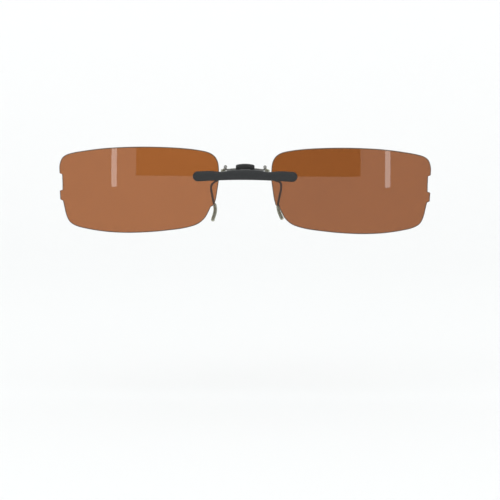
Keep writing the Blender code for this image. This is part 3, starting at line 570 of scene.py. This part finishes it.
def bar_mesh():
    bm = bmesh.new()
    start = BAR_L - BAR_H
    half = [start * k / 46 for k in range(47)]
    half += [start + BAR_H * math.sin(math.radians(a)) for a in (6, 12, 18, 24, 30, 36, 42, 48, 54, 60, 66, 71, 76, 80, 84, 87, 90)]
    loops = []
    for x in [-x for x in reversed(half[1:])] + half:
        if abs(x) <= start:
            h, deep = BAR_H, 1.0
        else:
            share = math.sqrt(max(0.0, 1 - ((abs(x) - start) / BAR_H) ** 2))
            h, deep = BAR_H * max(share, 0.05), 0.62 + 0.38 * share ** 1.3
        zc = bar_centre(x)
        top = h - bar_waist(x) if abs(x) < start else h
        loop = []
        for k in range(37):
            a = math.radians(-90 + 5 * k)
            bow = max(0.0, math.cos(a)) ** 0.85
            loop.append((-deep * (BAR_E + (BAR_T - BAR_E) * bow), zc + (top if a > 0 else h) * math.sin(a)))
        ease = min(0.14, h * 0.4)
        for a in (0, 30, 60, 90):
            a = math.radians(a)
            loop.append((-ease + ease * math.sin(a), zc + top - ease + ease * math.cos(a)))
        for a in (0, 30, 60, 90):
            a = math.radians(a)
            loop.append((-ease + ease * math.cos(a), zc - h + ease - ease * math.sin(a)))
        loops.append([bm.verts.new((x, y, z)) for y, z in loop])
    skin(bm, loops, closed_ends=True)
    return bm


def knuckle(x0, x1):
    """Round behind, with the two detent flats, and square where it runs into the bar."""
    points = [(-0.45, FLIP_Z - 0.80)]
    for k in range(-20, 21):
        a = math.radians(4.5 * k)
        y, z = 1.10 * math.cos(a), 1.10 * math.sin(a)
        p = (FLIP_Y + min(y, 0.85), FLIP_Z + min(z, 0.85))
        if math.hypot(p[0] - points[-1][0], p[1] - points[-1][1]) > 0.03:
            points.append(p)
    points[0] = (-0.45, points[1][1])
    points.append((-0.45, points[-1][1]))
    return prism_x(points, x0, x1, 0.06)


bar = raw("bar_shell", bar_mesh())
for side in (-1, 1):
    a, b = sorted((side * 1.92, side * 3.10))
    combine(bar, knuckle(a, b), "UNION")
combine(bar, rod((-4, FLIP_Y, FLIP_Z), (4, FLIP_Y, FLIP_Z), 0.50), "DIFFERENCE")
for side in (-1, 1):
    for x in SCREW_X:
        combine(bar, rod((side * x, -1.02, bar_centre(x)), (side * x, 0.6, bar_centre(x)), 0.58), "DIFFERENCE")
show(bar, CARRIER, BLACK, "bar_black", "bridge_bar", sharp=30)


# =================================================================== fasteners
def slotted(obj, origin, axis, radius, depth, width=0.20, angle=25):
    """Cuts a screwdriver slot into the head whose top is at origin."""
    axis = Vector(axis).normalized()
    cut = block(-radius * 1.3, radius * 1.3, -width / 2, width / 2, -depth, depth)
    turn = axis.to_track_quat("Z", "Y").to_matrix().to_4x4() @ Matrix.Rotation(math.radians(angle), 4, "Z")
    bmesh.ops.transform(cut, matrix=Matrix.Translation(origin) @ turn, verts=cut.verts)
    return combine(obj, cut, "DIFFERENCE")


def head(seat, radius, height, shaft):
    """Profile of a low round head above seat, eased at its rim."""
    out = [(seat, shaft), (seat, radius - 0.05), (seat + 0.02, radius - 0.015), (seat + 0.06, radius)]
    for a in range(0, 91, 10):
        a = math.radians(a)
        out.append((seat + 0.10 + (height - 0.10) * math.sin(a), radius * (0.16 + 0.84 * math.cos(a) ** 0.75)))
    return out + [(seat + height, 0)]


for side, label in ((-1, "left"), (1, "right")):
    for n, (where, x) in enumerate(zip(("inner", "outer"), SCREW_X)):
        z = bar_centre(x)
        back = max(lens_front(x + u * 1.2, z + v * 1.2) for u in (-1, 0, 1) for v in (-1, 0, 1)) + LENS_T + 0.05
        ring = raw("spacer_%s_%s" % (label, where), washer((side * x, back, z), (0, 1, 0), 0.62, 1.20, 0.25))
        show(ring, CARRIER, NYLON, "washer_nylon", "lens_washer_%s_%s" % (label, where), sharp=0)
        seat = back + 0.25 + 0.04
        thread = []
        s = -0.90
        while s < seat - 0.25:  # rolled thread
            thread += [(s, 0.44), (s + 0.06, 0.48), (s + 0.12, 0.44)]
            s += 0.125
        profile = [(-0.92, 0), (-0.92, 0.30)] + thread + [(seat - 0.08, 0.46)] + head(seat, 0.95, 0.55, 0.46)
        screw = raw("screw_%s_%s" % (label, where), turned(profile, (side * x, 0, z), (0, 1, 0)))
        slotted(screw, (side * x, seat + 0.55, z), (0, 1, 0), 0.95, 0.20, 0.22, 20 + 55 * n + (70 if side > 0 else 0))
        show(screw, CARRIER, SCREW, "fastener_steel", "lens_screw_%s_%s" % (label, where), sharp=28)

pin_end = 3.15
profile = [(-pin_end - s, r) for s, r in reversed(head(0.0, 0.82, 0.42, 0.42))] + head(pin_end, 0.82, 0.42, 0.42)
show(raw("rivet", turned(profile, (0, FLIP_Y, FLIP_Z), (1, 0, 0))), CARRIER, SCREW, "fastener_steel", "hinge_pin", sharp=28)
for side, label in ((-1, "left"), (1, "right")):
    ring = raw("hinge_spacer_" + label, washer((side * 1.65, FLIP_Y, FLIP_Z), (side, 0, 0), 0.50, 0.98, 0.22, 0.04))
    show(ring, CARRIER, DARK_NYLON, "washer_nylon", "hinge_washer_" + label, sharp=0)


# ================================================================== base frame
FLOOR = (-0.55, 0.50)
base = raw("base_shell", block(-2.75, 2.75, 4.55, 8.95, *FLOOR, edge=0.12, segments=2))
neck = [(FLIP_Y - 0.35, FLIP_Z - 0.95), (1.55, FLOOR[0]), (5.2, FLOOR[0] + 0.02), (5.2, 0.48), (2.75, 0.48), (2.20, 0.80), (1.90, FLIP_Z)]
combine(base, prism_x(neck, -1.57, 1.57), "UNION")
combine(base, rod((-1.60, FLIP_Y, FLIP_Z), (1.60, FLIP_Y, FLIP_Z), 1.10, 64), "UNION")
for side in (-1, 1):
    cheek = [(HOOK_Y + 0.86 * math.cos(a), HOOK_Z + 0.86 * math.sin(a)) for a in (math.radians(6 * k) for k in range(0, 31))]
    cheek += [(HOOK_Y - 0.72, 0.2), (HOOK_Y + 1.35, 0.2)]
    a, b = sorted((side * 1.25, side * 2.00))
    combine(base, prism_x(cheek, a, b), "UNION")
combine(base, block(-2.85, 2.85, 8.30, 9.15, FLOOR[0] + 0.06, SEAT_Z + 1.25, edge=0.24, segments=4), "UNION")
for side in (-1, 1):
    rib = [(7.35, 0.25), (8.55, 0.25), (8.55, 1.95), (8.20, 1.75)]
    a, b = sorted((side * 1.70, side * 2.30))
    combine(base, prism_x(rib, a, b), "UNION")
combine(base, rod((-4, FLIP_Y, FLIP_Z), (4, FLIP_Y, FLIP_Z), 0.49), "DIFFERENCE")
combine(base, rod((-4, HOOK_Y, HOOK_Z), (4, HOOK_Y, HOOK_Z), 0.45), "DIFFERENCE")
for y in (3.75, 5.45, 7.35):
    combine(base, rod((0, y, -1.2), (0, y, 1.2), 0.49), "DIFFERENCE")
for side in (-1, 1):
    a, b = sorted((side * 0.87, side * 1.73))
    combine(base, block(a, b, 4.92, 10.0, FLOOR[0] - 0.5, 0.23), "DIFFERENCE")
moulded(base, 0.075, 3)
show(base, BASE, BASE_BLACK, "base_black", "base_frame", sharp=0)

# Silicone pad: eased all round, with shallow grip grooves across its bearing face
pad = raw("grip_pad", block(-2.60, 2.60, 9.20, SEAT_Y, SEAT_Z - 1.05, SEAT_Z + 1.05, edge=0.17, segments=5))
for k in (-2, -1, 1, 2):
    combine(pad, rod((-2.2, SEAT_Y + 0.035, SEAT_Z + 0.33 * k), (2.2, SEAT_Y + 0.035, SEAT_Z + 0.33 * k), 0.09, 16), "DIFFERENCE")
show(pad, BASE, SILICONE, "pad_silicone", "seat_pad", sharp=40)

clamp_top = FLOOR[0] - 0.05
clamp = raw("clamp_plate", block(-2.30, 2.30, 4.85, 8.05, clamp_top - 0.40, clamp_top, edge=0.10, segments=3))
for k, y in enumerate((5.45, 7.35)):
    combine(clamp, rod((0, y, -3.5), (0, y, 0), 0.49), "DIFFERENCE")
show(clamp, BASE, PLATE, "clamp_steel", "prong_clamp", sharp=35)
for k, y in enumerate((5.45, 7.35)):
    seat = -(clamp_top - 0.40) + 0.03
    screw = raw("plate_screw_" + ("front", "rear")[k], turned([(-0.40, 0), (-0.40, 0.28), (-0.30, 0.40)] + head(seat, 0.78, 0.32, 0.40), (0, y, 0), (0, 0, -1)))
    slotted(screw, (0, y, -seat - 0.32), (0, 0, -1), 0.78, 0.13, 0.18, 15 + 60 * k)
    show(screw, BASE, SCREW, "fastener_steel", "clamp_screw_" + ("front", "rear")[k], sharp=28)

# Detent leaf and its screw
leaf_y, leaf_t = 2.20, 0.17
leaf = raw("leaf", block(-3.02, 3.02, leaf_y + 0.02, 4.45, FLOOR[0] - 0.04 - leaf_t, FLOOR[0] - 0.04))
for side in (-1, 1):
    arm = [(leaf_y, FLOOR[0] - 0.04 - leaf_t), (leaf_y + 0.60, FLOOR[0] - 0.04 - leaf_t * 0.98), (leaf_y + 0.36, FLOOR[0] + 0.02),
           (leaf_y + leaf_t, FLOOR[0] + 0.40), (leaf_y + leaf_t, FLIP_Z + 0.55), (leaf_y + leaf_t + 0.16, FLIP_Z + 0.80),
           (leaf_y + 0.18, FLIP_Z + 0.86), (leaf_y, FLIP_Z + 0.58)]
    a, b = sorted((side * 1.98, side * 3.02))
    combine(leaf, prism_x(arm, a, b), "UNION")
combine(leaf, rod((0, 3.75, -2), (0, 3.75, 0.2), 0.49), "DIFFERENCE")
show(leaf, BASE, BLUED, "spring_steel", "detent_leaf", sharp=30)
seat = -(FLOOR[0] - 0.04 - leaf_t) + 0.03
screw = raw("leaf_screw", turned([(-0.30, 0), (-0.30, 0.28), (-0.20, 0.40)] + head(seat, 0.74, 0.36, 0.40), (0, 3.75, 0), (0, 0, -1)))
slotted(screw, (0, 3.75, -seat - 0.36), (0, 0, -1), 0.74, 0.14, 0.18, 70)
show(screw, BASE, SCREW, "fastener_steel", "detent_screw", sharp=28)


# ======================================================== prongs, hooks, sleeves
PRONG_X, PRONG_Z = 1.30, -0.20
PRONG_ROUTES = {
    "right": ((PRONG_X, 5.05, PRONG_Z), (PRONG_X, 6.6, PRONG_Z), (PRONG_X, 8.3, PRONG_Z), (1.60, 9.7, -0.22), (3.0, 11.0, -0.40),
              (5.4, 11.85, -0.72), (8.0, 12.1, -1.20), (10.2, 12.1, -1.95), (11.5, 12.1, -2.40), (12.05, 12.1, -3.10), (12.1, 12.05, -4.6),
              (11.8, 11.95, -6.3), (11.45, 11.9, -8.0), (11.15, 11.8, -9.8), (11.15, 11.65, -10.9), (11.45, 11.4, -12.4),
              (12.05, 11.1, -13.9), (12.6, 10.8, -15.1)),
    "left": ((-PRONG_X, 5.05, PRONG_Z), (-PRONG_X, 6.6, PRONG_Z), (-PRONG_X, 8.3, PRONG_Z), (-1.60, 9.7, -0.22), (-3.0, 11.0, -0.42),
             (-5.4, 11.85, -0.78), (-8.0, 12.1, -1.38), (-9.7, 12.1, -2.20), (-10.65, 12.1, -2.85), (-11.3, 12.1, -3.60), (-11.45, 12.05, -4.7),
             (-11.1, 11.95, -6.9), (-10.6, 11.85, -9.3), (-10.15, 11.7, -10.6), (-10.0, 11.5, -11.8), (-10.15, 11.35, -13.0),
             (-10.6, 11.1, -14.6), (-11.0, 10.85, -15.8)),
}
SLEEVE_START = {"right": -10.3, "left": -9.9}
for label, points in PRONG_ROUTES.items():
    route = Route(points)
    wire_end = route.length - 0.45
    show(raw("prong_" + label, wire(route, 0.37, 0.0, wire_end)), BASE, PRONG, "wire_steel", "lower_prong_" + label, sharp=50)
    start = route.find(lambda p: p.z < SLEEVE_START[label])
    show(raw("vinyl_prong_" + label, sleeve(route, start, wire_end + 0.08, 0.44, 0.64, 0.55)), BASE, VINYL, "sleeve_vinyl", "prong_sleeve_" + label, sharp=50)

HALF_HOOK = (
    (0.0, 5.50, 2.10), (2.2, 5.50, 2.10), (3.4, 5.50, 2.10), (4.6, 5.52, 1.98), (5.80, 5.55, 1.86), (6.38, 5.60, 2.02), (6.60, 5.74, 2.36),
    (6.62, 6.15, 2.66), (6.62, 6.90, 2.74), (6.62, 8.60, 2.70), (6.62, 10.30, 2.62), (6.64, 11.35, 2.46), (6.72, 11.88, 2.00),
    (6.98, 12.05, 1.47), (7.55, 12.12, 1.20), (8.25, 12.15, 1.12),
)
hook = Route(tuple((-x, y, z) for x, y, z in reversed(HALF_HOOK[1:])) + HALF_HOOK)
show(raw("hooks", wire(hook, 0.35, 0.45, hook.length - 0.45)), LEVER, WIRE, "wire_steel", "hook_wire", sharp=50)
for label, sign in (("left", -1), ("right", 1)):
    half = Route(tuple((sign * x, y, z) for x, y, z in HALF_HOOK))
    start = half.find(lambda p: p.y > 8.7)
    show(raw("vinyl_hook_" + label, sleeve(half, start, half.length - 0.37, 0.41, 0.56, 0.32)), LEVER, VINYL, "sleeve_vinyl", "hook_sleeve_" + label, sharp=50)


# ================================================================= finger piece
def lever_mesh():
    front, back, low, high, half = 3.05, 4.20, 1.62, 4.02, 3.13
    bm = bmesh.new()
    profile = [(0.0, 0.0), (0.0, 0.30), (0.0, 0.55), (0.02, 0.78), (0.06, 0.87), (0.13, 0.93), (0.22, 0.965), (0.34, 0.985), (0.48, 0.997), (0.62, 1.0), (0.76, 0.985), (0.88, 0.95), (0.96, 0.90), (1.0, 0.84), (1.0, 0.0)]
    loops = []
    for k in range(41):
        u = math.sin(math.radians(-90 + 4.5 * k))
        side_round = max(0.0, (abs(u) - 0.86) / 0.14)
        top = high - 0.42 * u * u - 0.26 * side_round ** 2
        inset = 0.16 * side_round ** 2
        loops.append([bm.verts.new((u * half, front + (back - front) * a + (inset if a < 0.2 else 0), low + (top - low) * b)) for a, b in profile])
    skin(bm, loops, closed_ends=True)
    return bm


lever = raw("finger_piece", lever_mesh())
for side in (-1, 1):
    lug = [(3.75, 1.93), (4.30, 1.88), (HOOK_Y - 0.55, HOOK_Z - 0.95 * 0.86)]
    lug += [(HOOK_Y + 0.95 * math.cos(a), HOOK_Z + 0.95 * math.sin(a)) for a in (math.radians(-90 + 6 * k) for k in range(0, 28))]
    lug += [(3.75, 3.35)]
    a, b = sorted((side * 2.25, side * 3.07))
    combine(lever, prism_x(lug, a, b), "UNION")
for k in (-1, 0, 1):  # grip grooves along the top
    combine(lever, rod((-2.5, 3.58 + 0.24 * k, 4.13 - 0.03 * abs(k)), (2.5, 3.58 + 0.24 * k, 4.13 - 0.03 * abs(k)), 0.13, 16), "DIFFERENCE")
for x in (-2.35, 1.35):  # two small moulding pips on the face
    pip = bmesh.new()
    bmesh.ops.create_uvsphere(pip, u_segments=20, v_segments=12, radius=0.26)
    bmesh.ops.transform(pip, matrix=Matrix.Translation((x, 3.16, 2.98)), verts=pip.verts)
    combine(lever, pip, "UNION")
combine(lever, rod((-4, HOOK_Y, HOOK_Z), (4, HOOK_Y, HOOK_Z), 0.40), "DIFFERENCE")
moulded(lever, 0.055, 2)
show(lever, LEVER, LEVER_BLACK, "lever_black", "press_lever", sharp=0)

# Torsion spring: its coil wound round the lever's axis
coil_half = 0.72
points = [(-coil_half - 0.02, HOOK_Y + 0.40, 0.78), (-coil_half, HOOK_Y + 0.68, 1.35)]
for k in range(4 * 12 + 1):
    a = 2 * math.pi * k / 12
    points.append((-coil_half + 2 * coil_half * k / 48, HOOK_Y + 0.70 * math.cos(a), HOOK_Z + 0.70 * math.sin(a)))
points += [(coil_half + 0.02, HOOK_Y + 0.50, HOOK_Z + 0.80), (coil_half, HOOK_Y - 0.10, HOOK_Z + 1.05), (coil_half, 4.40, HOOK_Z + 1.10)]
spring_route = Route(points, per_span=6)
spring = raw("return_spring", wire(spring_route, 0.13, step=0.10, sides=14))
show(spring, None, SPRING, "spring_steel", "torsion_spring", sharp=50)
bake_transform(spring)


# ================================================================ room and light
def plain(name, colour):
    made = bpy.data.materials.new(name)
    made.use_nodes = True
    shader = made.node_tree.nodes["Principled BSDF"]
    shader.inputs["Base Color"].default_value = (*colour, 1)
    shader.inputs["Roughness"].default_value = 0.9
    shader.inputs["Specular IOR Level"].default_value = 0.0
    return made


# A pale sweep: the floor runs back and curves up into a backdrop
bm = bmesh.new()
profile = [(-1.6, -0.075), (0.5, -0.075)]
profile += [(0.5 + 0.5 * math.sin(math.radians(a)), 0.425 - 0.5 * math.cos(math.radians(a))) for a in range(6, 91, 6)]
profile += [(1.0, 1.6)]
rows = [[bm.verts.new((x, y, z)) for y, z in profile] for x in (-1.8, 1.8)]
for k in range(len(profile) - 1):
    bm.faces.new((rows[0][k], rows[1][k], rows[1][k + 1], rows[0][k + 1]))
mesh = bpy.data.meshes.new("sweep")
bm.to_mesh(mesh)
bm.free()
sweep = bpy.data.objects.new("sweep", mesh)
bpy.context.scene.collection.objects.link(sweep)
paper = plain("pale_paper", (0.90, 0.905, 0.905))
tree = paper.node_tree
place = tree.nodes.new("ShaderNodeTexCoord")
parts = tree.nodes.new("ShaderNodeSeparateXYZ")
tree.links.new(place.outputs["Object"], parts.inputs["Vector"])
# Painted shade: the one paper's colour greys from the backdrop down to the floor.
floor_shade_by_height = tree.nodes.new("ShaderNodeMapRange")
floor_shade_by_height.inputs["From Min"].default_value, floor_shade_by_height.inputs["From Max"].default_value = -0.072, 0.10
tree.links.new(parts.outputs["Z"], floor_shade_by_height.inputs["Value"])
shade = tree.nodes.new("ShaderNodeMix")
shade.data_type = "RGBA"
tree.links.new(floor_shade_by_height.outputs["Result"], shade.inputs["Factor"])
shade.inputs["A"].default_value = (0.872, 0.877, 0.877, 1)  # the floor, painted a touch greyer than the backdrop: painted shade
shade.inputs["B"].default_value = (0.926, 0.927, 0.927, 1)
tree.links.new(shade.outputs["Result"], paper.node_tree.nodes["Principled BSDF"].inputs["Base Color"])
mesh.materials.append(paper)
mesh.shade_smooth()
sweep.visible_glossy = False

world = bpy.data.worlds.new("studio")
bpy.context.scene.world = world
world.use_nodes = True
world.node_tree.nodes["Background"].inputs["Color"].default_value = (0.990, 1.0, 1.0, 1)
world.node_tree.nodes["Background"].inputs["Strength"].default_value = 1.066


def softbox(name, place, aim, size, power, colour=(1, 1, 1)):
    light = bpy.data.lights.new(name, "AREA")
    light.shape = "RECTANGLE"
    light.size, light.size_y = size
    light.energy = power
    light.color = colour
    obj = bpy.data.objects.new(name, light)
    bpy.context.scene.collection.objects.link(obj)
    obj.location = place
    obj.rotation_euler = (Vector(aim) - Vector(place)).to_track_quat("-Z", "Y").to_euler()
    return obj


softbox("overhead", (0.0, -0.1, 1.1), (0, 0, 0), (1.2, 1.0), 1.3)
softbox("key_left", (-0.7, -0.9, 0.7), (0, 0, 0), (0.6, 0.6), 0.7)

# Two plain upright strip boxes and one black flag in front, which the glossy
# lenses mirror as they would mirror any studio's. Other views don't look at them.
for name, x in (("strip_left", -0.63), ("strip_right", 0.73)):
    strip = softbox(name, (x, -2.0, 0.20), (x, 0.0, 0.20), (0.05, 0.60), 0.40)
    strip.visible_camera = strip.visible_transmission = False

bm = bmesh.new()
bm.faces.new([bm.verts.new((x, -2.1, z)) for x, z in ((-0.45, 0.0), (0.50, 0.0), (0.50, 0.50), (-0.45, 0.50))])
mesh = bpy.data.meshes.new("flag")
bm.to_mesh(mesh)
bm.free()
flag = bpy.data.objects.new("flag", mesh)
bpy.context.scene.collection.objects.link(flag)
mesh.materials.append(plain("flag_black", (0.01, 0.01, 0.01)))
flag.visible_camera = flag.visible_transmission = False

# ======================================================================= camera
scene = bpy.context.scene
scene.view_settings.view_transform = "Standard"
scene.view_settings.look = "None"
PIXELS_PER_MM = 3.010
DISTANCE = 0.90
ELEVATION = math.radians(4.6)
ROLL = 0.32
camera_data = bpy.data.cameras.new("camera")
camera_data.sensor_width = 36.0
camera_data.lens = 36.0 * DISTANCE / (500 / PIXELS_PER_MM * MM)
camera_data.clip_start, camera_data.clip_end = 0.01, 20
camera = bpy.data.objects.new("camera", camera_data)
scene.collection.objects.link(camera)
scene.camera = camera
aim = TO_ROW @ Vector((5.28 / PIXELS_PER_MM, 0.0, -73.70 / PIXELS_PER_MM))
camera.location = aim + Vector((0, -math.cos(ELEVATION), math.sin(ELEVATION))) * DISTANCE
turn = (aim - camera.location).to_track_quat("-Z", "Y").to_matrix() @ Matrix.Rotation(math.radians(ROLL), 3, "Z")
camera.rotation_euler = turn.to_euler()
